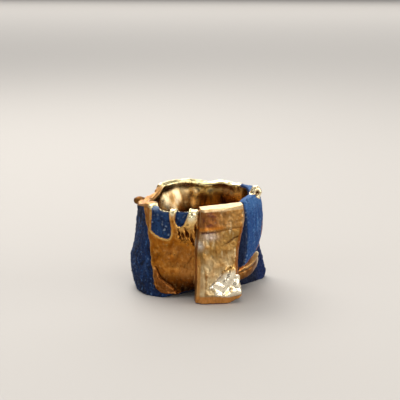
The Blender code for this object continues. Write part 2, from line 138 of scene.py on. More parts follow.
FLAP = [
    (-45.5, 15.6), (-44.1, 13.8), (-41.9, 11), (-38.9, 9.3), (-36, 8.4), (-32, 7), (-27.9, 5), (-25.5, 3),
]
PLATE_LEFT = [(0, -7), (5.8, -6.7), (14.5, -6.1), (24.1, -6.1), (34.7, -4.8), (42.4, -3.8), (48.2, -3.7)]
PLATE_RIGHT = [(0, 16.8), (5.8, 16.4), (14.5, 14.8), (24.1, 15), (34.7, 16.8), (42.4, 18.2), (48.2, 17.8)]
FOIL = [
    (11.9, 20.6), (9.4, 19.4), (6.8, 17.7), (4.6, 14.8), (2.7, 12.5), (0.6, 10.2), (-0.3, 8.5), (1.4, 7.6),
    (2.1, 6.2), (3.2, 4.6), (7.1, 3.6), (11.7, 3.8), (16.4, 4.5), (15.9, 8.9), (14.9, 14.2), (13.4, 15.2),
    (12.8, 18),
]
FOIL_EDGE = [(0.4, 9.4), (3.4, 12.6), (5.4, 14.6), (7.6, 17.2), (9.8, 18.6), (11.8, 19.8)]
FOIL_LINES = [
    ([(11.6, 20), (11.1, 17.1), (10.2, 13.6), (8.2, 10.7), (7.2, 7.7)], 0.62, 1.1),
    ([(14.6, 13.6), (13.4, 9.6), (15.4, 6.3)], 0.48, 1.2),
    ([(7.6, 4.8), (11.2, 6.9), (14.3, 5.8), (16, 5)], 0.5, 1.2),
    ([(0.2, 8.8), (2.8, 11), (5.2, 9.8)], 0.34, 1.2),
    ([(5.6, 14.2), (8.2, 18.2)], 0.34, 1),
]
FOIL_PITS = [(8.8, 17.6), (8.2, 15.2), (12.9, 12.6), (4, 11.6)]
CREASE = [(-3.6, 36.2), (0.6, 36.2), (4.4, 36.7), (10, 37.8), (15.8, 38.4)]
CRACK = [(4.7, 29.2), (7.2, 29.7), (10.2, 31.7), (12.3, 33.1), (14.4, 34)]
TARNISH = [(-4.2, 47), (2.3, 47.6), (4.9, 45.6), (4.2, 41.8), (4.8, 38.6), (-4.2, 38.6)]
FLECK = [(6.8, 47), (10.9, 48.1), (17.5, 49.2)]
BEADS = [(-96, 2.7, 0.35), (84, 3.3, -0.5)]

# Turns the noise off the axes, so that its grid doesn't show on upright faces
TILT = np.array(Euler((0.61, 0.37, 0.83)).to_matrix())


def srgb(red, green, blue):
    """A linear colour from the usual 0 to 255 values."""
    return np.array([((c / 255) ** 2.2) for c in (red, green, blue)])


def stations(rows):
    """The table's columns at every half degree, smooth through the stations."""
    angles = np.array([row[0] for row in rows])
    angles = np.concatenate([angles - 360, angles, angles + 360])
    at = np.arange(-180, 180, 0.5)
    columns = []
    for k in range(1, len(rows[0])):
        values = np.tile([row[k] for row in rows], 3)
        slopes = np.gradient(values, angles)
        i = np.clip(np.searchsorted(angles, at, side="right") - 1, 0, len(angles) - 2)
        span = angles[i + 1] - angles[i]
        t = (at - angles[i]) / span
        columns.append(
            (2 * t**3 - 3 * t**2 + 1) * values[i]
            + (t**3 - 2 * t**2 + t) * span * slopes[i]
            + (3 * t**2 - 2 * t**3) * values[i + 1]
            + (t**3 - t**2) * span * slopes[i + 1]
        )
    return at, columns


AT, COLUMNS = stations(BODY)
FOOT, BELLY, RIM, UNDER, TOP = range(5)


def around(column, azimuth):
    return np.interp(azimuth, AT, COLUMNS[column], period=360)


def body_radius(azimuth, height):
    """The body's outside, where no slab covers it."""
    foot, belly, rim = (REACH * around(k, azimuth) for k in (FOOT, BELLY, RIM))
    low = CLEARANCE * around(UNDER, azimuth)
    top = RIM_TOP * around(TOP, azimuth)
    rise = np.clip((height - low) / (BELLY_Z - low), 0, 1)
    below = foot + (belly - foot) * np.sqrt(1 - (1 - rise) ** 2)
    rise = np.clip((height - BELLY_Z) / (top - BELLY_Z), 0, 1)
    return np.where(height < BELLY_Z, below, belly + (rim - belly) * rise * (2 - rise))


def step(x, low, high):
    """0 at low and 1 at high, smooth between them."""
    t = np.clip((x - low) / (high - low), 0, 1)
    return t * t * (3 - 2 * t)


def bump(x, middle, width):
    """A bell of height 1 round the middle."""
    return np.exp(-(((x - middle) / width) ** 2))


def table(rows, x):
    rows = np.array(rows, float)
    return np.interp(x, rows[:, 0], rows[:, 1])


def turned(x, y, azimuth):
    """Distances across a slab that faces this azimuth, and out along that way."""
    turn = math.radians(azimuth)
    return x * math.cos(turn) + y * math.sin(turn), x * math.sin(turn) - y * math.cos(turn)


def hashed(i, seed):
    h = (i[:, 0] * 374761393 + i[:, 1] * 668265263 + i[:, 2] * 1103515245 + seed * 974634777) & 0xFFFFFFFF
    h = ((h ^ (h >> 13)) * 1274126177) & 0xFFFFFFFF
    h = ((h ^ (h >> 15)) * 2246822519) & 0xFFFFFFFF
    return h ^ (h >> 16)


def noise(p, size, seed=0):
    """Smooth noise from about -1 to 1, with hills about this many millimetres across."""
    q = p @ TILT / size
    i = np.floor(q).astype(np.int64)
    f = q - i
    u = f**3 * (f * (f * 6 - 15) + 10)
    total = np.zeros(len(p))
    for corner in range(8):
        d = np.array([corner & 1, corner >> 1 & 1, corner >> 2 & 1])
        h = hashed(i + d, seed)
        slope = np.stack([(h & 1023), (h >> 10) & 1023, (h >> 20) & 1023], 1) / 511.5 - 1
        weight = np.prod(np.where(d, u, 1 - u), axis=1)
        total += weight * ((f - d) * slope).sum(1)
    return total * 1.6


def rough(p, size, octaves, seed=0, fade=0.5):
    total, share = 0, 1.0
    for k in range(octaves):
        total = total + share * noise(p, np.asarray(size) / 2**k, seed + 17 * k)
        share *= fade
    return total


def ridged(p, size, octaves, seed=0):
    total, share = 0, 1.0
    for k in range(octaves):
        total = total + share * (1 - 2.2 * np.abs(noise(p, np.asarray(size) / 2**k, seed + 31 * k)))
        share *= 0.5
    return total / 1.5


def cells(p, size, seed=0):
    """Distance to the nearest scattered point, in millimetres, and that point's own number from 0 to 1."""
    q = p @ TILT / size
    i = np.floor(q).astype(np.int64)
    nearest = np.full(len(p), 9.0)
    number = np.zeros(len(p))
    for shift in np.ndindex(3, 3, 3):
        j = i + np.array(shift) - 1
        h = hashed(j, seed)
        spot = j + np.stack([h & 1023, (h >> 10) & 1023, (h >> 20) & 1023], 1) / 1023
        distance = np.linalg.norm(q - spot, axis=1)
        closer = distance < nearest
        nearest = np.where(closer, distance, nearest)
        number = np.where(closer, (hashed(j, seed + 5) & 1023) / 1023, number)
    return nearest * size, number


def to_line(x, y, points):
    """Distance from a line through the points, and how far along it from 0 to 1."""
    best, along = np.full(len(x), 1e9), np.zeros(len(x))
    count = len(points) - 1
    for k in range(count):
        (ax, ay), (bx, by) = points[k], points[k + 1]
        dx, dy = bx - ax, by - ay
        t = np.clip(((x - ax) * dx + (y - ay) * dy) / (dx * dx + dy * dy), 0, 1)
        distance = np.hypot(x - ax - t * dx, y - ay - t * dy)
        closer = distance < best
        best = np.where(closer, distance, best)
        along = np.where(closer, (k + t) / count, along)
    return best, along


def inside_outline(x, y, points):
    """Signed distance to an outline, positive inside it."""
    distance, _ = to_line(x, y, points + points[:1])
    within = np.zeros(len(x), bool)
    for (ax, ay), (bx, by) in zip(points, points[1:] + points[:1]):
        if ay != by:
            within ^= ((y < ay) != (y < by)) & (x < (bx - ax) * (y - ay) / (by - ay) + ax)
    return np.where(within, distance, -distance)


def on_wall(points, radius):
    """Azimuths turned into millimetres along the wall, so that a distance is one."""
    return [(math.radians(azimuth) * radius, height) for azimuth, height in points]


class Skin:
    """The mesh as arrays, in millimetres."""

    def __init__(self, mesh):
        self.mesh = mesh
        self.co = np.empty(len(mesh.vertices) * 3)
        mesh.vertices.foreach_get("co", self.co)
        self.co = self.co.reshape(-1, 3) * 1000
        ends = np.empty(len(mesh.edges) * 2, np.int64)
        mesh.edges.foreach_get("vertices", ends)
        self.ends = ends.reshape(-1, 2)
        self.count = np.bincount(self.ends.ravel(), minlength=len(self.co)).astype(float)

    def around(self, values):
        """The mean of each vertex's neighbours."""
        a, b = self.ends.T
        if values.ndim == 1:
            total = np.bincount(a, values[b], len(self.co)) + np.bincount(b, values[a], len(self.co))
            return total / self.count
        return np.stack([self.around(values[:, k]) for k in range(values.shape[1])], 1)

    def relax(self, steps, pull=0.5, push=-0.52):
        """Smooths facets and steps away and keeps the size."""
        for _ in range(steps):
            for share in (pull, push):
                self.co += share * (self.around(self.co) - self.co)

    def soften(self, chosen, steps):
        """Smooths the chosen vertices only."""
        for _ in range(steps):
            self.co = np.where(chosen[:, None], 0.5 * (self.co + self.around(self.co)), self.co)

    def spread(self, values, steps):
        for _ in range(steps):
            values = 0.5 * values + 0.5 * self.around(values)
        return values

    def write(self):
        self.mesh.vertices.foreach_set("co", (self.co / 1000).astype(np.float32).ravel())
        self.mesh.update()

    def normals(self):
        self.write()
        out = np.empty(len(self.co) * 3, np.float32)
        self.mesh.vertex_normals.foreach_get("vector", out)
        return out.reshape(-1, 3).astype(float)


def linked(name, data):
    obj = bpy.data.objects.new(name, data)
    bpy.context.scene.collection.objects.link(obj)
    return obj


def evaluated(obj):
    """Applies the object's modifiers."""
    graph = bpy.context.evaluated_depsgraph_get()
    mesh = bpy.data.meshes.new_from_object(obj.evaluated_get(graph))
    mesh.name = obj.name
    obj.modifiers.clear()
    obj.data = mesh
    return mesh


def fine_mesh():
    """The solid as an even fine mesh, thinned out where little is seen."""
    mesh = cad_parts["cup"].data.copy()
    mesh.materials.clear()
    bm = bmesh.new()
    bm.from_mesh(mesh)
    bmesh.ops.remove_doubles(bm, verts=bm.verts, dist=1e-6)
    bm.to_mesh(mesh)
    bm.free()
    obj = linked("glazed_cup", mesh)
    remesh = obj.modifiers.new("even", "REMESH")
    remesh.mode = "VOXEL"
    remesh.voxel_size = VOXEL / 1000
    mesh = evaluated(obj)
    skin = Skin(mesh)
    skin.relax(5)
    normal = skin.normals()
    place = Places(skin.co, normal)
    seen = step(normal[:, 1], 0.55, 0.1) * (1 - place.inside) * step(normal[:, 2], -0.85, -0.5)
    seen = np.maximum(seen, 0.75 * place.outer_rim)
    seen = np.maximum(seen, place.inside * step(place.z, place.top - 4.5, place.top - 3.5))
    group = obj.vertex_groups.new(name="plain")
    share = np.round(1 - skin.spread(seen, 4), 1)
    for value in np.unique(share):
        group.add(np.flatnonzero(share == value).tolist(), float(value), "REPLACE")
    faces = len(mesh.polygons) * 2
    triangulate = obj.modifiers.new("triangles", "TRIANGULATE")
    triangulate.quad_method = "SHORTEST_DIAGONAL"
    if faces > MOST_TRIANGLES * THINNED_SHARE:
        thin = obj.modifiers.new("thin", "DECIMATE")
        thin.ratio = MOST_TRIANGLES * THINNED_SHARE / faces
        thin.vertex_group = "plain"
        thin.vertex_group_factor = 2.0
    evaluated(obj)
    obj.vertex_groups.clear()
    return obj


class Places:
    """Where each vertex is: on which slab, and how far from what is drawn there."""

    def __init__(self, co, normal):
        self.co, self.normal = co, normal
        flat = co[:, :2] - AXIS
        x, y = flat.T
        z = self.z = co[:, 2]
        r = self.r = np.hypot(x, y)
        az = self.az = np.degrees(np.arctan2(x, -y))
        self.out = (x * normal[:, 0] + y * normal[:, 1]) / np.maximum(r, 1e-6)
        top = self.top = RIM_TOP * around(TOP, az)
        wall = self.wall = body_radius(az, z)
        swell = step(az, -112, -92) * step(-az, 46, 62)
        hollow = REACH * around(RIM, az) - 3.0 - 3.4 * swell
        self.past_left = (az + 320) % 360 - 180

        w, n = self.w, self.n = turned(x, y, PLATE_FACES)
        self.from_left, self.from_right = w - table(PLATE_LEFT, z), table(PLATE_RIGHT, z) - w
        behind = np.sqrt(np.maximum(wall**2 - w**2, 0))
        deep = np.where(z > top - 0.2, n - PLATE_DEPTH, np.minimum(n - behind - 0.25, n - (PLATE_DEPTH + 0.5)))
        self.plate = np.minimum(np.minimum(self.from_left, self.from_right) + 0.6, deep)

        leaf_out = r - wall - 0.45
        over_rim = np.where((z > top - 1.0) & (r > hollow - 0.5), 1.0, leaf_out)
        self.leaf_low = z - table(LEAF_LOW, az)
        self.leaf_front = np.radians(az - LEAF_FROM) * REACH
        leaf_back = np.radians(LEAF_TO - az) * REACH
        self.leaf = np.minimum.reduce([self.leaf_front, self.leaf_low + 0.5, over_rim, leaf_back])
        self.leaf = np.where(self.plate > 0, -1.0, self.leaf)
        low = table(STRAP_LOW, az)
        ends = [np.radians(az - STRAP_FROM) * STRAP_RADIUS, np.radians(STRAP_TO - az) * STRAP_RADIUS]
        self.strap = np.minimum.reduce([*ends, z - low + 0.4, low + STRAP_TALL - z, r - wall - 0.35])
        self.strap = np.where(self.leaf > 0, -1.0, self.strap)
        self.foot_w, foot_n = turned(x, y, FOOT_FACES)
        under = np.where(z < 6.5, 2.0, r - wall - 0.3)
        self.foot = np.minimum.reduce([self.foot_w - 6.0, foot_n - 7.5, 20.5 - foot_n, 25.0 - z, under])
        self.foot = np.where((self.strap > 0) | (self.leaf > 0), -1.0, self.foot)
        self.back_w, back_n = turned(x, y, BACK_FACES)
        hidden = np.sqrt(np.maximum(wall**2 - self.back_w**2, 0))
        back_deep = np.minimum(back_n - hidden - 0.3, back_n - 20.5)
        self.back = np.minimum.reduce([BACK_HALF - np.abs(self.back_w), back_deep, BACK_TOP - z])

        self.bead = np.full(len(z), -FAR)
        self.bead_side = np.zeros(len(z))
        self.curl = np.zeros(len(z))
        for azimuth, size, sink in BEADS:
            turn = math.radians(azimuth)
            reach = REACH * around(RIM, azimuth) + 0.35 * size
            height = RIM_TOP * around(TOP, azimuth) - sink * size
            spot = np.array([AXIS[0] + reach * math.sin(turn), AXIS[1] - reach * math.cos(turn), height])
            near = 1.22 * size - np.linalg.norm(co - spot, axis=1)
            self.bead_side = np.where(near > self.bead, np.sign(azimuth), self.bead_side)
            self.bead = np.maximum(self.bead, near)
            if azimuth > 0:
                self.curl = bump(np.linalg.norm(co - spot - np.array([1.0, -2.8, 0.1]), axis=1), 0, 1.3)

        open_rim = step(az, -52.5, -51.5) * step(-az, 13, 14) * (1 - step(az, -35.5, -34) * step(-az, 26, 27.5))
        faces_in = (self.out < -0.15) | (r < hollow - 2.0) & (normal[:, 2] > 0.2)
        inner = (r < hollow + 1.1 - 0.95 * open_rim) & (z > 8.2) & faces_in
        self.inside = (inner & (self.plate < 0.4)).astype(float)
        self.outer_rim = bump(z, top, 2.0) * (r < wall + 2)
        slabs = np.maximum.reduce([self.plate, self.leaf, self.strap, self.foot, self.back])
        self.body = (slabs < 0) & (self.inside < 0.5)
        self.under = (normal[:, 2] < -0.55) & (z < 7.5)


def restore_windows(skin, place):
    """Brings the windows' floors back level with the wall, before sharper ones are cut."""
    zone = (
        step(place.az, -58, -54) * step(-place.az, 6, 11) * step(place.z, 26, 28.5)
        * step(place.top - place.z, 0.35, 0.9)
        * (place.plate < -0.3) * (place.out > 0.2) * (place.r > place.wall - 1.6) * (place.r < place.wall + 0.6)
    )
    share = (zone * (place.wall - place.r) / np.maximum(place.r, 1))[:, None]
    skin.co[:, :2] += share * (skin.co[:, :2] - AXIS)


def lustre(place):
    """How far each vertex is inside the gold, in millimetres, negative on the blue clay, and window depths."""
    co, az, z, wall = place.co, place.az, place.z, place.wall
    wave = 0.45 * noise(co, 4.0, 3) + 0.22 * noise(co, 1.5, 4)
    fine = 0.14 * noise(co, 1.7, 5)
    front = np.radians(az - table(SLAB_EDGE, z)) * wall + wave
    foot = z - table(GOLD_FOOT, az) + 0.8 * wave
    gold = np.minimum.reduce([front, foot, np.radians(16 - az) * wall])
    drip = 15.0 + 2.2 * np.sin(np.radians(az) * 9 + 0.6) + 3.5 * noise(co * [1, 1, 0.15], 7.0, 9)
    rear = np.minimum(z - drip, np.radians(table(BACK_EDGE, z) - az) * wall + 1.4 * wave)
    rear_right = np.minimum(z - drip, np.radians(az - 124) * wall + 1.4 * wave)
    gold = np.maximum.reduce([gold, np.where(az < -80, rear, -FAR), np.where(az > 80, rear_right, -FAR)])
    edge = 1.25 + 0.7 * noise(co, 5.0, 12)
    band = z - (place.top - edge)
    blue_rim = step(az, 52, 58) * step(-az, -112, -104)
    band = np.where(place.r < wall + 1.2, band - 4.0 * blue_rim, band)
    windows = []
    for outline in (WINDOW_1, WINDOW_2):
        middle = np.mean([p[0] for p in outline])
        radius = float(body_radius(np.array([middle]), np.array([40.0]))[0])
        windows.append(inside_outline(np.radians(az) * radius, z, on_wall(outline, radius)) + fine)
    window = np.maximum(windows[0], windows[1] + 0.3)
    window = np.where((place.r > wall - 3.2) & (place.plate < 0), window, -FAR)
    return gold, band, window


def relief(place, gold, window):
    """How far each vertex moves out, in millimetres, and the marks from which the glaze's tone and polish are
    painted.
    """
    co, az, z, w = place.co, place.az, place.z, place.w
    count = len(z)
    wall_co = np.stack([co[:, 0], z, co[:, 1]], 1)

    # Blue clay: lumps, grit, drag marks down it and small pits, coarser towards the foot
    spots, number = cells(co, 2.4, 21)
    pits = step(0.62 - spots, 0, 0.35) * (number > 0.55)
    grains, grain_number = cells(co, 1.0, 24)
    grit = step(0.42 - grains, 0, 0.22) * (grain_number > 0.45)
    coarse = 0.65 + 0.55 * step(32 - z, 0, 20)
    drag = rough(wall_co * [1, 0.22, 1], 1.7, 2, 23)
    clay = 0.34 * noise(co, 1.4, 22) + 0.16 * drag + 0.36 * noise(co, 2.5, 27) + 0.26 * grit - 0.46 * pits
    clay = 0.42 * rough(co, 6.0, 2, 20) + coarse * clay

    # Gold over the body: one broad swell, faint drag marks and fine dimples
    swell = 0.34 * noise(co, 9.0, 30) + 0.15 * noise(co, 4.0, 31) + 0.03 * noise(co, 1.2, 32)
    coat = swell + 0.06 * rough(wall_co * [1, 0.2, 1], 1.6, 1, 33) + 0.07 * noise(co, 2.2, 37)
    flat_x = np.radians(az) * LUMPS_RADIUS
    lump_zone = step(inside_outline(flat_x, z, on_wall(LUMPS, LUMPS_RADIUS)), -0.6, 1.8)
    lump_zone *= (az > -45) * (az < 25) * (place.out > -0.1)
    warp = co + 1.0 * np.stack([noise(co, 3.6, 41), noise(co, 3.6, 42), noise(co, 3.6, 43)], 1)
    folds = ridged(warp * [1, 1, 0.5], 4.4, 2, 40)
    groove = np.zeros(count)
    for line in GROOVES:
        distance, along = to_line(flat_x + 0.5 * noise(co, 1.6, 45), z, on_wall(line, LUMPS_RADIUS))
        groove = np.maximum(groove, bump(distance, 0, 0.66) * (0.55 + 0.45 * np.sin(math.pi * along)))
    coat = coat + lump_zone * (0.48 * folds + 0.25 * noise(co, 2.4, 46)) - 0.95 * groove * lump_zone
    bead_x, pillar_x, knob_x = (flat_x - math.radians(spot) * LUMPS_RADIUS for spot in (-10.5, -30.6, -31.0))
    bead = bump(np.hypot(bead_x, z - 43.2), 0, 2.8)
    pillar = bump(np.hypot(pillar_x / 0.8, z - 44.8), 0, 2.0)
    knob = bump(np.hypot(knob_x, z - 21.8), 0, 1.0)
    coat = coat + 0.75 * bead + 0.45 * pillar + 0.3 * knob
    valley, _ = to_line(np.radians(az) * FLAP_RADIUS, z, on_wall(FLAP, FLAP_RADIUS))
    flap_edge = table([(height, azimuth) for azimuth, height in reversed(FLAP)], z)
    flap = step(flap_edge - az, -0.5, 1.2) * step(16.4 - z, 0, 1.5) * (az > -60)
    valley = bump(valley, 0, 0.55) * (az > -47) * (az < -24)
    coat = coat + flap * (0.34 + 0.26 * noise(co, 1.6, 34)) - 0.75 * valley

    lip = 0.3 * bump(gold, 0.62, 0.45)
    on = step(gold, -0.1, 0.45)
    body = np.where(place.body, (1 - on) * clay + on * (coat + 0.42) + lip, clay)
    sunk = step(window, -0.1, 0.4)
    piece = bump(np.hypot(np.radians(az + 49.5) * 31, z - 46.4), 0, 1.5)
    window_clay = 0.7 * clay - 0.62 + piece
    rim_lip = 0.34 * bump(-window, 0.62, 0.45)
    body = np.where(place.body & (window > -6), (1 - sunk) * (body + rim_lip) + sunk * window_clay, body)

    # Front plate: faint grain down it, a crease, a crack, a crumpled corner and worn edges
    plate_co = np.stack([w, z, place.n], 1)
    bent = plate_co + np.stack([0.6 * noise(co, 4.0, 64), 3.0 * noise(co, 5.0, 65), 0 * z], 1)
    streak = rough(bent * [1, 0.2, 0.5], 1.7, 2, 50)
    hills = rough(plate_co, 7.0, 2, 51)
    dents = rough(plate_co, 2.6, 2, 63)
    crease, crease_along = to_line(w + 0.2 * noise(co, 1.4, 52), z + 0.35 * noise(co, 2.0, 53), CREASE)
    crack, crack_along = to_line(w, z + 0.3 * noise(co, 1.2, 54), CRACK)
    facing = step(place.n - 26, 0, 2) * (place.plate > 0)
    fx, fz = w + 0.5 * noise(co, 2.6, 55), z + 0.5 * noise(co, 2.6, 56)
    foil = inside_outline(fx, fz, FOIL)
    lift = 0.22 + 0.55 * noise(plate_co, 6.5, 57) + 0.12 * noise(plate_co, 3.0, 58) + 0.24 * bump(foil, 0.6, 0.7)
    for line, height, width in FOIL_LINES:
        distance, along = to_line(fx, fz, line)
        lift = lift + height * bump(distance, 0, width) - 0.3 * height * bump(distance, 2.0 * width, 0.8)
        foil = np.maximum(foil, 0.6 * width - distance)
    for pit in FOIL_PITS:
        lift = lift - 0.5 * bump(np.hypot(fx - pit[0], fz - pit[1]), 0, 0.7)
    foil = np.where(place.plate > 0, foil, -FAR)
    on_foil = step(foil, -0.1, 0.6) * facing
    above = step(z - table(CREASE, w), -0.3, 0.8)
    face = 0.1 * streak + 0.34 * hills + 0.15 * dents + 0.07 * noise(co, 1.1, 60)
    face = face * (1 - 0.75 * step(z, 45.6, 47.0))
    face = face - 0.55 * bump(crease, 0, 0.42) * (0.3 + 0.7 * bump(crease_along, 0.12, 0.3)) + 0.13 * above
    face = face - 0.45 * bump(crack, 0, 0.4) * step(crack_along, 0.0, 0.5)
    fleck, _ = to_line(w, z, FLECK)
    face = face + 0.28 * bump(fleck, 0, 0.5)
    blister = bump(np.hypot(w + 4.6, (z - 29.8) / 1.3), 0, 1.6)
    face = face + 0.35 * blister * (1 - 1.6 * bump(np.hypot(w + 4.2, z - 30.2), 0, 0.6))
    _, front_on = turned(place.normal[:, 0], place.normal[:, 1], PLATE_FACES)
    ragged = bump(np.minimum(place.from_left, place.from_right), 0, 1.1) * (0.25 + 0.75 * step(front_on, 0.2, 0.7))
    face = face + 0.45 * ragged * noise(co, 2.2, 61) * step(47.5 - z, -1, 1)
    face = face + 0.1 * bump(z, 49, 1.2) * noise(co, 6.0, 62)
    face = face + 0.25 * bump(z, 5.2, 0.9)
    plate = (1 - on_foil) * face + on_foil * lift

    # Slabs of blue clay, the strap, the beads and the hollow
    brushed = rough(wall_co * [1, 0.08, 1], 0.95, 2, 70)
    pocks, pock_number = cells(co, 1.4, 72)
    torn = step(4.9 + 0.5 * noise(co, 3.0, 79) - place.leaf_front, -0.3, 0.7)
    slab = 0.26 * rough(co, 7.0, 2, 71) + 0.14 * brushed + 0.2 * noise(co, 1.4, 73) + 0.14 * grit
    slab = slab - 0.25 * torn - 0.3 * torn * step(0.6 - pocks, 0, 0.4) * (pock_number > 0.4)
    strap = 0.2 * noise(co, 5.0, 75) + 0.1 * noise(co, 1.8, 76)
    strap_z = z - table(STRAP_LOW, az)
    strap = strap + 0.35 * bump(strap_z, 6.6, 0.8) - 0.3 * bump(strap_z, 5.0, 0.6)
    knobs = 0.26 * noise(co, 2.4, 77) + 0.05 * noise(co, 1.0, 78) - 1.7 * place.curl
    far_left = bump(place.past_left, 0, 27)
    hollow = 0.5 * noise(co, 8.0, 80) + 0.22 * noise(co * [1, 1, 0.45], 4.2, 81)
    hollow = hollow * step(z, 8, 14) + 0.06 * noise(co, 3.0, 82)
    depth = np.clip((place.top - z) / 18, 0, 1)
    flare = (0.2 + 3.6 * far_left) * depth * step(z, 10, 26)
    flare = flare - (0.2 + 0.8 * far_left) * step(z, place.top - 16, place.top - 4) * step(place.top - z, 0.3, 4.5)
    hollow = hollow + flare + 0.2 * bump(place.top - z, 1.3, 1.0)
    rim = bump(z - place.top, 0, 1.8) * place.body
    rim_wave = 0.26 * noise(co, 5.0, 84)

    move = np.where(place.inside > 0.5, hollow, body)
    for chosen, moved in (
        (place.plate > 0, plate * (0.45 + 0.55 * step(front_on, 0.1, 0.6))),
        ((place.back > 0) | (place.foot > 0), 0.8 * clay),
        (place.strap > 0, strap),
        (place.leaf > 0, slab),
        (place.bead > 0, knobs),
    ):
        move = np.where(chosen, moved, move)
    move = move + rim * rim_wave * (window < 0)
    move = np.where(z < STANDING, 0, move)
    bends = 0.8 * noise(co, 5.0, 36)[:, None]
    marks = SimpleNamespace(
        foil=foil,
        foil_edge=to_line(fx, fz, FOIL_EDGE)[0],
        groove=groove * lump_zone,
        lumps=lump_zone,
        crack=np.where(crack_along > 0.05, crack, FAR),
        scratch=ridged(wall_co * [1, 0.45, 1] + bends, 3.0, 2, 35),
        bead=bead, pillar=pillar, knob=knob, flap=flap, valley=valley, piece=piece,
        crease=crease, crease_along=crease_along, crack_along=crack_along, fleck=fleck, blister=blister,
        streak=streak, hills=hills, dents=dents, brushed=brushed, drag=drag, grit=grit, pits=pits, torn=torn,
    )
    return move, marks


def mix(a, b, share):
    return a + (b - a) * np.asarray(share)[:, None]


def coated(colour, *coats):
    """A colour with coats on it, each a red, green and blue mixed in by its share at each vertex."""
    if isinstance(colour, tuple):
        colour = srgb(*colour)
    for rgb, share in coats:
        colour = mix(colour, srgb(*rgb), share)
    return colour


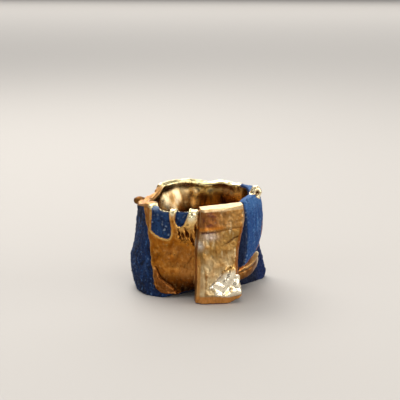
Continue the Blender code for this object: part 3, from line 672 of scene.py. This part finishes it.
def paint(place, gold, band, window, marks):
    """For each vertex: how far inside the gold it is, the gold's colour and polish, and the clay's colour."""
    co, az, z, w = place.co, place.az, place.z, place.w
    wide = noise(co, 8.0, 100)
    middle = noise(co, 3.0, 101)
    small = noise(co, 1.2, 102)
    runs = rough(co * [1, 1, 0.2], 2.4, 2, 103)

    # Gold on the body: amber, painted darker towards the foot on the front as shade, brightest at the rim as a
    # painted highlight
    front_low = step(az, -70, -60)
    # The lips are painted as a highlight: brighter along the gold's edges and most on the windows' lower sides.
    lip = bump(gold, 0.45, 0.4) * (az > -90) * (az < 10) * 0.28
    low_side = step(36.5 - z, 0, 4) + 0.45 * step(z, 40, 44)
    lip = np.maximum(lip, bump(-window, 0.45, 0.42) * np.clip(0.35 + 0.6 * low_side, 0, 1))
    rim = np.clip(step(band, -0.2, 0.6) * (place.r < place.wall + 1.2), 0, 1)
    open_gold = 1 - marks.lumps
    body = coated(
        (192, 122, 44),
        ((154, 88, 24), step(wide + 0.5 * middle, 0.0, 0.7)),
        ((208, 144, 76), step(-wide + 0.4 * small, 0.1, 0.7) * 0.75),
        ((150, 74, 26), 0.5 * step(middle - 0.5 * wide, 0.2, 0.8)),
        ((186, 128, 70), 0.7 * step(az, -28, -16) * step(30 - z, 0, 8)),
        # A painted sheen: a soft lighter patch on the front.
        ((218, 150, 78), 0.5 * bump(np.hypot((az + 24) / 15, (z - 17) / 4.5), 0, 1)),
        # Painted shade: a darker patch low on the front-left.
        ((112, 72, 28), 0.6 * bump(np.hypot((az + 41) / 6, (z - 9) / 6), 0, 1)),
        ((154, 90, 26), 0.5 * step(36 - z, 0, 6) * step(z, 14, 20)),
        # Painted shade: the front turns dark brown towards the foot.
        ((80, 38, 10), 0.92 * front_low * step(15.5 - z - 1.5 * middle, 0, 7)),
        ((20, 8, 3), 0.94 * front_low * step(10 - z - middle, 0, 6)),
        # Painted highlight on the knob.
        ((224, 140, 50), 0.7 * marks.knob),
        ((146, 96, 48), 0.85 * step(-az, 50, 53) * step(az, -114, -106) * step(z, 26, 34)),
        ((150, 92, 46), 0.85 * marks.flap),
        ((78, 44, 22), marks.flap * step(small + 0.5 * middle, 0.05, 0.6) * 0.7),
        # Painted shade in the fold's crease.
        ((60, 30, 12), 0.85 * marks.valley),
        ((250, 204, 122), 0.8 * marks.lumps * step(z - 33 - 3 * middle, -5, 5)),
        ((176, 112, 40), 0.6 * marks.lumps * step(37 - z, -3, 3)),
        # Painted shade in the grooves between the lumps.
        ((70, 34, 8), np.clip(marks.groove * 1.2, 0, 1)),
        # Painted highlights on the bead and the pillar.
        ((255, 242, 200), np.clip(1.5 * (marks.bead + marks.pillar), 0, 1)),
        # Painted highlight on the gold's lips.
        ((240, 194, 112), lip * step(z, 2, 12)),
        ((150, 84, 24), 0.6 * step(small + 0.8 * middle, 0.15, 0.7) * open_gold),
        ((232, 166, 84), 0.5 * step(-small - 0.9 * middle, 0.35, 0.9) * open_gold * step(z, 10, 16)),
        ((92, 50, 16), 0.55 * step(marks.scratch, 0.62, 0.95) * open_gold * step(31 - z, 0, 8)),
        # The rim's gold is painted near white as a highlight.
        ((255, 240, 186), rim * 0.95),
    )
    shine = 0.34 + 0.07 * middle + 0.04 * small - 0.12 * marks.lumps - 0.04 * rim

    # Front plate, with its tarnish, a lighter left edge and a darker right edge, a top painted pale as a highlight,
    # toe and crumpled foil
    tarnish = step(inside_outline(w, z, TARNISH), -1.4, 1.6)
    over_crease = bump(z - np.interp(w, [-4, 8], [37.6, 38.9]), 0, 0.9)
    left = step(2.0 - place.from_left, 0, 0.8) * step(25 - z, 0, 3)
    right = step(2.3 + 0.5 * middle - place.from_right, 0, 0.6) * step(z, 9, 14) * step(41 - z, 0, 3)
    # Painted highlight: the plate's top strip and its upward-facing faces are painted pale.
    top_from = z - 48.0 - 0.1 * (w + 4) + 0.45 * middle + 0.3 * noise(co, 6.0, 105)
    top = np.maximum(step(top_from, -0.2, 0.5), step(place.normal[:, 2], 0.35, 0.6) * step(z, 45, 46))
    top = np.maximum(top, bump(marks.fleck, 0, 0.55) * 0.85)
    plate = coated(
        (158, 120, 66),
        ((222, 196, 148), step(27 - z - 5 * wide, 0, 16)),
        ((146, 108, 58), step(marks.streak + 0.5 * marks.dents, 0.1, 0.8) * 0.8),
        ((236, 212, 164), step(-marks.streak - 0.4 * marks.dents, 0.25, 0.9) * 0.7),
        ((176, 120, 54), step(marks.hills, 0.2, 0.9) * 0.5),
        ((124, 84, 46), 0.6 * step(0.6 * small + 0.7 * middle + 0.5 * marks.streak, 0.4, 0.95)),
        ((152, 106, 62), 0.75 * step(z, 37.0, 39.2) * (1 - 0.5 * step(w + middle, 4, 12))),
        ((140, 86, 48), tarnish * 0.8),
        ((104, 60, 54), tarnish * step(small + 0.8 * middle, 0.0, 0.7) * 0.75),
        # Painted shade in the crease.
        ((80, 44, 40), bump(marks.crease, 0, 0.6) * step(0.5 - marks.crease_along, -0.25, 0.2)),
        ((120, 74, 36), 0.4 * bump(marks.crease, 0, 0.5)),
        ((206, 124, 46), 0.8 * over_crease * step(9 - w, 0, 4)),
        ((240, 224, 214), 0.65 * bump(np.hypot((w - 0.2) / 3.4, (z - 34.3) / 1.6), 0, 1)),
        ((84, 48, 26), 0.8 * bump(marks.crack, 0, 0.4) * step(marks.crack_along, 0.1, 0.6)),
        ((246, 236, 220), 0.8 * marks.blister),
        ((206, 142, 66), 0.75 * left),
        ((142, 80, 16), 0.9 * right),
        # Painted highlight along the top.
        ((218, 186, 138), 0.97 * top),
        ((206, 158, 92), 0.5 * top * step(small + middle, 0.1, 0.8)),
        ((232, 160, 82), 0.88 * step(4.6 - z, 0, 0.8)),
    )
    foil_tone = coated(
        (255, 244, 218),
        ((236, 190, 106), step(middle + 0.5 * small, 0.2, 0.8) * 0.7),
        ((226, 172, 82), 0.85 * step(z - 12.5 - w * 0.25, 0, 3)),
        ((120, 78, 34), 0.8 * bump(marks.foil_edge, 0, 0.5) * step(z, 9, 12)),
    )
    foil = step(marks.foil, -0.1, 0.4)
    plate = mix(plate, foil_tone, foil)
    plate_shine = 0.4 + 0.06 * marks.streak + 0.06 * middle - 0.18 * foil - 0.04 * top
    on_plate = place.plate > 0
    plate = np.where((on_plate & (place.out < -0.2))[:, None], srgb(206, 150, 76), plate)

    # Hollow, strap and beads, with painted reflections, shade and highlights
    blot = rough(co * [1, 1, 0.55], 6.0, 2, 104)
    far_left = bump(place.past_left, 0, 26)
    # Painted reflections in the mirror-like gold: pale glare at the far left, dark blots and streaks, darker towards
    # the back, and painted shade deeper down.
    hollow = coated(
        (196, 142, 70),
        ((138, 88, 30), step(blot + 0.5 * wide, -0.2, 0.6)),
        ((184, 144, 90), far_left),
        ((150, 96, 36), 0.6 * step(24 - z, 0, 10)),
        ((206, 186, 150), np.clip(1.5 * far_left * step(0.25 - blot, 0, 0.4), 0, 1)),
        ((74, 42, 14), (0.85 - 0.1 * far_left) * step(blot - 0.25 * runs, 0.1, 0.45)),
        ((118, 74, 24), 0.6 * bump(az, 165, 40)),
    )
    # Painted darker overall, with a painted orange reflection at the right and a painted highlight along the rim's
    # top.
    hollow = coated(
        0.76 * hollow,
        ((236, 146, 36), 0.7 * bump(az, 116, 18)),
        ((255, 238, 180), bump(z - place.top, 0, 4.4)),
    )
    strap = coated(
        (136, 88, 42),
        ((96, 60, 28), step(middle, -0.2, 0.6)),
        # Painted light: the strap's top face lighter, and a painted highlight at its right end.
        ((226, 176, 110), 0.7 * bump(z - table(STRAP_LOW, az), 7.2, 1.3)),
        ((255, 240, 200), bump(az, 93, 5.5)),
    )
    left_bead = coated((124, 82, 40), ((88, 54, 26), step(middle, -0.1, 0.6)))
    # The right bead is painted pale as a highlight, its curl's hollow dark as painted shade.
    right_bead = coated((255, 236, 190), ((96, 58, 30), np.clip(1.3 * place.curl, 0, 1)))

    in_hollow, on_strap, on_bead = place.inside > 0.5, place.strap > 0, place.bead > 0
    colour, polish = body, shine
    for chosen, tint, gloss in (
        (on_plate, plate, plate_shine),
        (in_hollow, hollow, 0.16 + 0.04 * middle + 0.1 * far_left),
        (on_strap, strap, 0.36),
        (on_bead & (place.bead_side < 0), left_bead, 0.5),
        (on_bead & (place.bead_side > 0), right_bead, 0.25),
    ):
        colour = np.where(chosen[:, None], tint, colour)
        polish = np.where(chosen, gloss, polish)
    warm_rim = step(-az, 53.5, 57) * step(az, -124, -116) * step(z - place.top, -2.4, -1.4) * ~on_bead
    colour = mix(colour, srgb(170, 116, 62), 0.9 * warm_rim)
    polish = polish + 0.2 * warm_rim

    # Where gold lies: over the body but not its windows, on the slabs only along their edges
    leaf, foot, back = place.leaf > 0, place.foot > 0, place.back > 0
    inside = np.where(place.body, np.maximum(gold, band), -FAR)
    inside = np.where(place.body & (window > -6), np.minimum(inside, -window), inside)
    inside = np.where(in_hollow | on_plate | on_strap | on_bead, FAR, inside)
    inside = np.where((leaf | foot | back) & ~on_bead, -FAR, inside)
    leaf_line, _ = to_line(np.radians(az) * LEAF_RADIUS, z, on_wall(LEAF_LINE, LEAF_RADIUS))
    line_edge = 0.35 + 0.35 * bump(z, 29, 6) - 0.5 * step(z, 33, 38) - leaf_line
    leaf_edge = np.maximum(0.85 + 0.2 * middle - np.abs(place.leaf_low - 0.1), line_edge)
    on_leaf = leaf & ~on_bead
    inside = np.where(on_leaf, np.clip(leaf_edge, -FAR, FAR), inside)
    colour = np.where(on_leaf[:, None], srgb(204, 122, 58), colour)
    back_edge = 0.7 + 0.4 * middle - np.minimum(BACK_HALF - np.abs(place.back_w), BACK_TOP - z)
    inside = np.where(back & (z > 8), np.clip(back_edge, -FAR, FAR), inside)
    colour = np.where(back[:, None], srgb(206, 142, 68), colour)
    inside = np.where(place.under | (z < 0.4), -FAR, inside)

    # Blue: darker in hollows, painted darker at the foot as shade, painted brighter on the leaf where it is lit,
    # chalky on its worn edges
    patchy = 0.25 + 0.75 * step(wide + 0.4 * middle, -0.5, 0.4)
    blue = coated(
        (19, 44, 84),
        ((10, 24, 52), step(wide + 0.6 * middle, -0.1, 0.8)),
        ((30, 66, 118), 0.6 * step(marks.drag, 0.2, 1.0)),
        ((58, 96, 150), 0.8 * patchy * step(small + 0.5 * marks.drag, 0.25, 0.8)),
        ((48, 82, 134), 0.5 * step(-wide - 0.5 * marks.drag, 0.35, 0.9)),
        ((4, 9, 24), 0.8 * (1.2 - patchy) * step(-small - 0.4 * middle, 0.1, 0.7)),
        ((130, 154, 184), 0.45 * marks.grit * step(small, 0.0, 0.5)),
        ((8, 14, 30), 0.45 * step(z, 32, 42) * step(-az, 54, 62)),
        ((8, 14, 32), 0.8 * marks.pits),
    )
    dots = bump(place.leaf_front + 0.9 * middle, 4.6, 0.9) * step(small + wide, 0.1, 0.7) * (z < 47)
    # The leaf is the same blue painted brighter where it is lit, lighter still towards the rim as painted light; its
    # roughened front strip and inward face are painted dark as shade.
    leaf_blue = coated(
        (34, 72, 128),
        ((54, 100, 154), step(marks.brushed, 0.0, 0.9) * 0.7),
        ((22, 50, 102), step(wide, 0.1, 0.8) * 0.6),
        ((92, 142, 200), 0.35 * step(z - place.top, -9, 0)),
        ((104, 146, 192), 0.6 * step(small + 0.5 * marks.brushed, 0.3, 0.9)),
        ((16, 40, 90), 0.65 * step(-small - 0.5 * marks.brushed, 0.3, 0.9)),
        ((14, 26, 54), marks.torn * 0.9),
        ((150, 162, 170), 0.4 * dots),
        ((18, 38, 84), (leaf & (place.out < -0.3)) * 0.7),
    )
    blue = np.where(leaf[:, None], leaf_blue, blue)
    # Painted shade on the foot.
    shaded = step(29.0 - place.foot_w + 0.8 * middle, 0, 7)
    foot_blue = coated(0.4 * blue + 0.6 * srgb(8, 32, 84), ((1, 3, 10), 0.1 + 0.65 * shaded))
    blue = np.where(foot[:, None], foot_blue, blue)
    pane = coated(
        (38, 68, 112),
        ((22, 44, 80), step(middle, -0.3, 0.6)),
        ((12, 26, 54), 0.8 * step(-small - 0.3 * middle, 0.2, 0.7)),
        ((142, 158, 178), 0.75 * step(small + 0.6 * middle, 0.45, 0.9)),
        # Painted highlight on the raised piece at the first window's top.
        ((170, 190, 220), 0.7 * marks.piece),
    )
    blue = np.where(((window > 0) & place.body)[:, None], pane, blue)
    # Painted shade on the undersides.
    blue = mix(blue, srgb(10, 16, 30), place.under * 0.7)
    return inside, colour, np.clip(polish, 0.08, 0.8), blue


def store(mesh, name, values):
    kind = "FLOAT" if values.ndim == 1 else "FLOAT_COLOR"
    layer = mesh.attributes.new(name, kind, "POINT")
    if values.ndim == 1:
        layer.data.foreach_set("value", values.astype(np.float32))
        return
    rgba = np.concatenate([values, np.ones((len(values), 1))], 1)
    layer.data.foreach_set("color", rgba.astype(np.float32).ravel())


def refine(obj):
    """Halves the faces along the glazes' edges, where the lips are, as far as the budget goes."""
    skin = Skin(obj.data)
    place = Places(skin.co, skin.normals())
    gold, _, window = lustre(place)
    _, marks = relief(place, gold, window)
    near = np.full(len(skin.co), FAR)
    on_body = place.body & (place.az > -80) & (place.az < 14)
    near = np.where(on_body, np.minimum(np.abs(gold), np.abs(window)), near)
    near = np.where(marks.foil > -1, 0.4, near)
    near = np.where(marks.lumps > 0.5, np.minimum(near, 0.6), near)
    lines = np.minimum(marks.crack, marks.crease)
    near = np.where((place.plate > 0) & (place.n > 25), np.minimum(near, lines), near)
    wanted = near < 0.85
    bm = bmesh.new()
    bm.from_mesh(obj.data)
    bm.verts.ensure_lookup_table()
    edges = [e for e in bm.edges if wanted[e.verts[0].index] and wanted[e.verts[1].index]]
    room = (MOST_TRIANGLES - len(bm.faces)) // 2
    bmesh.ops.subdivide_edges(bm, edges=edges[:room], cuts=1, use_grid_fill=True)
    bmesh.ops.triangulate(bm, faces=[f for f in bm.faces if len(f.verts) > 3])
    bm.to_mesh(obj.data)
    bm.free()


def make_cup():
    obj = fine_mesh()
    refine(obj)
    mesh = obj.data
    skin = Skin(mesh)
    place = Places(skin.co, skin.normals())
    restore_windows(skin, place)
    skin.relax(1)
    skin.soften((place.inside > 0.5) & (place.z < place.top - 1.2), INNER_STEPS)
    place = Places(skin.co, skin.normals())
    gold, band, window = lustre(place)
    move, marks = relief(place, gold, window)
    move = np.where(marks.foil > 0.3, skin.spread(move, 8), move)
    height = skin.co[:, 2].copy()
    skin.co = skin.co + move[:, None] * place.normal
    low, high = (np.array(v) * 1000 for v in cad_box)
    skin.co = np.clip(skin.co, low, high)
    skin.co[:, 2] = np.where(height < STANDING, height, skin.co[:, 2])
    normal = skin.normals()
    curve = ((skin.around(skin.co) - skin.co) * normal).sum(1)
    hollows = skin.spread(np.clip(curve / 0.1, -1, 1), 2) * (1 - 0.65 * step(marks.foil, 0, 0.8))
    painted = paint(place, gold, band, window, marks)
    for name, values in zip(("gold", "gold_colour", "polish", "clay_colour", "hollows"), (*painted, hollows)):
        store(mesh, name, values)
    mesh.shade_smooth()
    print("cup mesh:", len(mesh.vertices), "vertices,", sum(len(f.vertices) - 2 for f in mesh.polygons), "triangles")
    return obj


class Nodes:
    """Short calls for a material's nodes."""

    def __init__(self, material):
        material.use_nodes = True
        self.tree = material.node_tree
        self.shader = self.tree.nodes["Principled BSDF"]

    def add(self, kind, **settings):
        node = self.tree.nodes.new(kind)
        for key, value in settings.items():
            setattr(node, key, value)
        return node

    def link(self, source, target):
        self.tree.links.new(source, target)

    def attribute(self, name, output="Fac"):
        return self.add("ShaderNodeAttribute", attribute_name=name).outputs[output]

    def math(self, operation, a, b=0.0, c=0.0):
        node = self.add("ShaderNodeMath", operation=operation)
        for k, value in enumerate((a, b, c)):
            if isinstance(value, (int, float)):
                node.inputs[k].default_value = value
            else:
                self.link(value, node.inputs[k])
        return node.outputs[0]

    def ramp(self, value, low, high, out_low=0.0, out_high=1.0):
        node = self.add("ShaderNodeMapRange", interpolation_type="SMOOTHSTEP")
        self.link(value, node.inputs["Value"])
        for key, number in (("From Min", low), ("From Max", high), ("To Min", out_low), ("To Max", out_high)):
            node.inputs[key].default_value = number
        return node.outputs["Result"]

    def noise(self, vector, millimetres, detail=2.0, roughness=0.5):
        node = self.add("ShaderNodeTexNoise", noise_dimensions="3D")
        node.inputs["Scale"].default_value = 1000.0 / millimetres
        node.inputs["Detail"].default_value = detail
        node.inputs["Roughness"].default_value = roughness
        self.link(vector, node.inputs["Vector"])
        return node.outputs["Fac"]

    def stretched(self, vector, scale, turn=0.0):
        node = self.add("ShaderNodeMapping")
        node.inputs["Scale"].default_value = scale
        node.inputs["Rotation"].default_value = (0.0, 0.0, turn)
        self.link(vector, node.inputs["Vector"])
        return node.outputs["Vector"]

    def blend(self, share, a, b):
        """Mixes two sockets, or a socket and a red, green and blue."""
        node = self.add("ShaderNodeMix", data_type="RGBA")
        for key, value in ((0, share), (6, a), (7, b)):
            if isinstance(value, (int, float)):
                node.inputs[key].default_value = value
            elif isinstance(value, tuple):
                node.inputs[key].default_value = (*srgb(*value), 1.0)
            else:
                self.link(value, node.inputs[key])
        return node.outputs[2]


def glaze():
    """Satin gold lustre over matt cobalt clay: one shader whose inputs follow where the gold lies."""
    material = bpy.data.materials.new("gold_over_cobalt")
    n = Nodes(material)
    where = n.add("ShaderNodeTexCoord").outputs["Object"]
    edge_noise = n.noise(where, 0.7, 2.0)
    ragged = n.math("MULTIPLY_ADD", n.math("SUBTRACT", edge_noise, 0.5), 0.35, n.attribute("gold"))
    gold = n.ramp(ragged, -0.07, 0.07)
    hollows = n.attribute("hollows")

    # Gold: fine drag marks, painted shade in the hollows, bright on the crests
    long = n.stretched(where, (1.0, 1.0, 0.12), math.radians(-8))
    marks = n.noise(long, 0.55, 3.0, 0.6)
    mottle = n.noise(where, 1.6, 3.0, 0.6)
    fleck = n.noise(where, 0.35, 2.0, 0.6)
    brushing = n.ramp(n.attribute("polish"), 0.2, 0.36, 0.15, 1.0)
    drawn = n.math("MULTIPLY", brushing, n.ramp(marks, 0.4, 0.75, 0.0, 0.35))
    lustre_colour = n.blend(drawn, n.attribute("gold_colour", "Color"), (140, 84, 34))
    lustre_colour = n.blend(n.ramp(mottle, 0.5, 0.8, 0.0, 0.14), lustre_colour, (255, 226, 160))
    # Painted shade: brown in the hollows.
    lustre_colour = n.blend(n.ramp(hollows, 0.12, 0.85, 0.0, 0.85), lustre_colour, (70, 34, 10))
    lustre_colour = n.blend(n.ramp(hollows, -1.0, -0.55, 0.18, 0.0), lustre_colour, (255, 232, 180))

    # Cobalt clay: speckle, pale worn grains and dark pits, then painted shade in the hollows and lighter crests
    speckle = n.noise(where, 0.45, 3.0, 0.7)
    patch = n.noise(where, 2.4, 3.0, 0.6)
    clay = n.blend(n.ramp(speckle, 0.3, 0.5, 0.75, 0.0), n.attribute("clay_colour", "Color"), (10, 20, 46))
    clay = n.blend(n.ramp(speckle, 0.6, 0.75, 0.0, 0.35), clay, (86, 124, 178))
    chalk = n.math("MULTIPLY", n.ramp(speckle, 0.56, 0.68), n.ramp(patch, 0.6, 0.72))
    clay = n.blend(n.math("MULTIPLY", chalk, 0.7), clay, (170, 178, 186))
    # Painted shade: dark in the hollows.
    clay = n.blend(n.ramp(hollows, 0.15, 0.9, 0.0, 0.8), clay, (8, 14, 30))
    clay = n.blend(n.ramp(hollows, -0.95, -0.35, 0.4, 0.0), clay, (80, 118, 172))

    shader = n.shader
    n.link(n.blend(gold, clay, lustre_colour), shader.inputs["Base Color"])
    n.link(gold, shader.inputs["Metallic"])
    gold_rough = n.math("ADD", n.attribute("polish"), n.ramp(fleck, 0.3, 0.7, -0.05, 0.07))
    clay_rough = n.ramp(speckle, 0.3, 0.7, 0.74, 0.5)
    bare = n.math("SUBTRACT", 1.0, gold)
    mixed = n.math("ADD", n.math("MULTIPLY", gold, gold_rough), n.math("MULTIPLY", bare, clay_rough))
    n.link(mixed, shader.inputs["Roughness"])
    shader.inputs["Specular IOR Level"].default_value = 0.2

    tooth = n.math("MULTIPLY", n.math("ADD", marks, n.math("MULTIPLY", fleck, 0.5)), 0.00004)
    tooth = n.math("MULTIPLY", tooth, brushing)
    clay_tooth = n.math("MULTIPLY", n.math("ADD", speckle, patch), 0.00036)
    height = n.math("ADD", n.math("MULTIPLY", gold, tooth), n.math("MULTIPLY", bare, clay_tooth))
    bump_node = n.add("ShaderNodeBump")
    bump_node.inputs["Strength"].default_value = 0.8
    bump_node.inputs["Distance"].default_value = 1.0
    n.link(height, bump_node.inputs["Height"])
    n.link(bump_node.outputs["Normal"], shader.inputs["Normal"])
    return material


def make_floor():
    mesh = bpy.data.meshes.new("floor")
    bm = bmesh.new()
    bmesh.ops.create_grid(bm, x_segments=1, y_segments=1, size=9.0)
    bm.to_mesh(mesh)
    bm.free()
    floor = linked("floor", mesh)
    material = bpy.data.materials.new("floor")
    material.use_nodes = True
    shader = material.node_tree.nodes["Principled BSDF"]
    shader.inputs["Base Color"].default_value = (0.5, 0.475, 0.445, 1.0)
    shader.inputs["Roughness"].default_value = 0.75
    mesh.materials.append(material)


def make_light(name, azimuth, elevation, distance, width, height, watts, colour):
    """An area light that looks at the cup, with its distance and size in metres."""
    data = bpy.data.lights.new(name, "AREA")
    data.shape = "RECTANGLE"
    data.size, data.size_y = width, height
    data.energy = watts
    data.color = colour
    light = linked(name, data)
    a, e = math.radians(azimuth), math.radians(elevation)
    out = Vector((math.sin(a) * math.cos(e), -math.cos(a) * math.cos(e), math.sin(e)))
    light.location = Vector((0.0, 0.0, 0.03)) + out * distance
    light.rotation_euler = out.to_track_quat("Z", "Y").to_euler()


def make_studio():
    make_light("window", -150, 50, 0.9, 0.7, 0.5, 5.0, (1.0, 0.97, 0.93))
    make_light("front", 26, 19, 1.3, 1.3, 0.5, 5.0, DAYLIGHT)
    make_light("right", 84, 17, 0.9, 0.7, 0.34, 3.0, DAYLIGHT)
    make_light("behind", 176, 19, 3.0, 3.545, 1.364, 33.5, DAYLIGHT)
    make_light("above", 15, 74, 1.0, 0.8, 0.6, 2.6, DAYLIGHT)
    make_light("left_fill", -60, 26, 0.9, 0.4, 0.5, 0.8, (0.96, 0.98, 1.0))
    sun = bpy.data.lights.new("sky", "SUN")
    sun.energy = 0.9
    sun.angle = math.radians(50)
    linked("sky", sun).rotation_euler = (math.radians(-28), math.radians(-14), 0.0)
    world = bpy.data.worlds.new("studio")
    bpy.context.scene.world = world
    world.use_nodes = True
    tree = world.node_tree
    background = tree.nodes["Background"]
    where = tree.nodes.new("ShaderNodeTexCoord")
    split = tree.nodes.new("ShaderNodeSeparateXYZ")
    ramp = tree.nodes.new("ShaderNodeValToRGB")
    tree.links.new(where.outputs["Generated"], split.inputs[0])
    tree.links.new(split.outputs["Z"], ramp.inputs[0])
    ramp.color_ramp.elements[0].color = (0.3, 0.28, 0.26, 1.0)
    ramp.color_ramp.elements[1].color = (0.62, 0.61, 0.6, 1.0)
    tree.links.new(ramp.outputs[0], background.inputs["Color"])
    background.inputs["Strength"].default_value = 0.55


def make_camera():
    data = bpy.data.cameras.new("camera")
    data.sensor_width = 36.0
    data.lens = FOCAL_LENGTH / PHOTO_WIDTH * data.sensor_width
    data.clip_start = 0.02
    camera = linked("camera", data)
    camera.location = (AXIS[0] / 1000, AXIS[1] / 1000 - CAMERA_BACK, CAMERA_HEIGHT)
    camera.rotation_euler = (math.radians(90 - CAMERA_DIP), 0.0, 0.0)
    bpy.context.scene.camera = camera


def main():
    bpy.context.scene.view_settings.view_transform = "Standard"
    make_camera()
    make_floor()
    make_studio()
    cup = make_cup()
    cup.data.materials.clear()
    cup.data.materials.append(glaze())
    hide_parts("cup")
    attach(cup, "root")


main()
